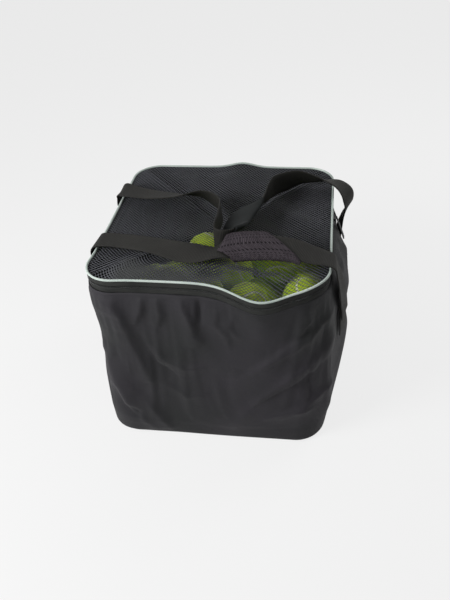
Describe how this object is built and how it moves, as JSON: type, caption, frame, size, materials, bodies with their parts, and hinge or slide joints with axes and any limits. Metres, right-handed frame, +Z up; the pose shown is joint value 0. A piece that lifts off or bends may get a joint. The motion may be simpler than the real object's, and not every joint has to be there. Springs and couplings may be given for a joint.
{
  "type": "tennis ball hopper",
  "caption": "Square soft fabric ball bag with a see-through zipped mesh lid, piped rim, two webbing carrying handles with hand grips, filled with felt balls.",
  "frame": {"origin": "middle of the bag's base, on the ground", "axes": "+X to the viewer's right, -Y out of the front panel, +Y towards the side where the lid hinges, +Z up"},
  "size_m": [0.4117, 0.3956, 0.3663],
  "materials": {
    "cloth": "matt woven polyester",
    "board": "matt",
    "tape": "matt woven tape",
    "coil": "satin nylon coil",
    "webbing": "ribbed polyester webbing",
    "felt": "yellow-green felt",
    "mesh": "open knitted mesh",
    "piping": "satin",
    "ribbed_sleeve": "ribbed padded cloth",
    "smooth_sleeve": "smooth satin coated cloth",
    "enamel": "semi-gloss"
  },
  "bodies": {
    "bag": {"bottom_panel": "cloth", "base_board": "board", "front_panel": "cloth", "right_panel": "cloth", "back_panel": "cloth", "left_panel": "cloth", "zip_tape_lower": "tape", "zip_coil_lower": "coil", "hinge_strip": "tape", "zip_end_tab": "tape", "strap_anchor_front_left": "webbing", "strap_anchor_front_right": "webbing", "strap_anchor_rear_left": "webbing", "strap_anchor_rear_right": "webbing", "ball_heap": "felt", "ball_1": "felt", "ball_2": "felt", "ball_3": "felt", "ball_4": "felt", "ball_5": "felt", "ball_6": "felt", "ball_7": "felt", "ball_8": "felt", "ball_9": "felt", "ball_10": "felt", "ball_11": "felt", "ball_12": "felt", "ball_13": "felt", "ball_14": "felt", "ball_15": "felt", "ball_16": "felt", "ball_17": "felt", "ball_18": "felt", "ball_19": "felt", "ball_20": "felt", "ball_21": "felt", "ball_22": "felt", "ball_23": "felt", "ball_24": "felt", "ball_top_1": "felt", "ball_top_2": "felt", "ball_top_3": "felt", "ball_top_4": "felt", "ball_top_5": "felt", "ball_top_6": "felt", "ball_top_7": "felt", "ball_top_8": "felt"},
    "lid": {"lid_mesh": "mesh", "lid_piping": "piping", "lid_band": "tape", "zip_coil_upper": "coil"},
    "front_handle": {"front_handle_strap": "webbing", "front_handle_sleeve": "ribbed_sleeve"},
    "rear_handle": {"rear_handle_strap": "webbing", "rear_handle_sleeve": "smooth_sleeve"},
    "slider": {"zip_slider": "enamel"},
    "pull": {"zip_pull": "webbing"}
  },
  "joints": [
    {"name": "lid_open", "type": "hinge", "parent": "bag", "child": "lid", "pos_m": [0, 0.18, 0.31915], "axis": [-1, 0, 0], "range_deg": [0, 110]},
    {"name": "front_handle_swing", "type": "hinge", "parent": "bag", "child": "front_handle", "pos_m": [0, -0.09, 0.225], "axis": [1, 0, 0], "range_deg": [0, 90], "deforming": ["front_handle_strap", "front_handle_sleeve"]},
    {"name": "rear_handle_swing", "type": "hinge", "parent": "bag", "child": "rear_handle", "pos_m": [0, 0.09, 0.225], "axis": [-1, 0, 0], "range_deg": [0, 105], "deforming": ["rear_handle_strap", "rear_handle_sleeve"]},
    {"name": "slider_travel", "type": "slide", "parent": "bag", "child": "slider", "axis": [0, -1, 0], "range_m": [0, 0.11]},
    {"name": "pull_swing", "type": "hinge", "parent": "slider", "child": "pull", "pos_m": [0.1873, 0.029, 0.31935], "axis": [0, -1, 0], "range_deg": [0, 150]}
  ],
  "couplings": [
    {"joint": "front_handle_swing", "follows": "lid_open", "ratio": 0.81818},
    {"joint": "rear_handle_swing", "follows": "lid_open", "ratio": 0.95454}
  ]
}
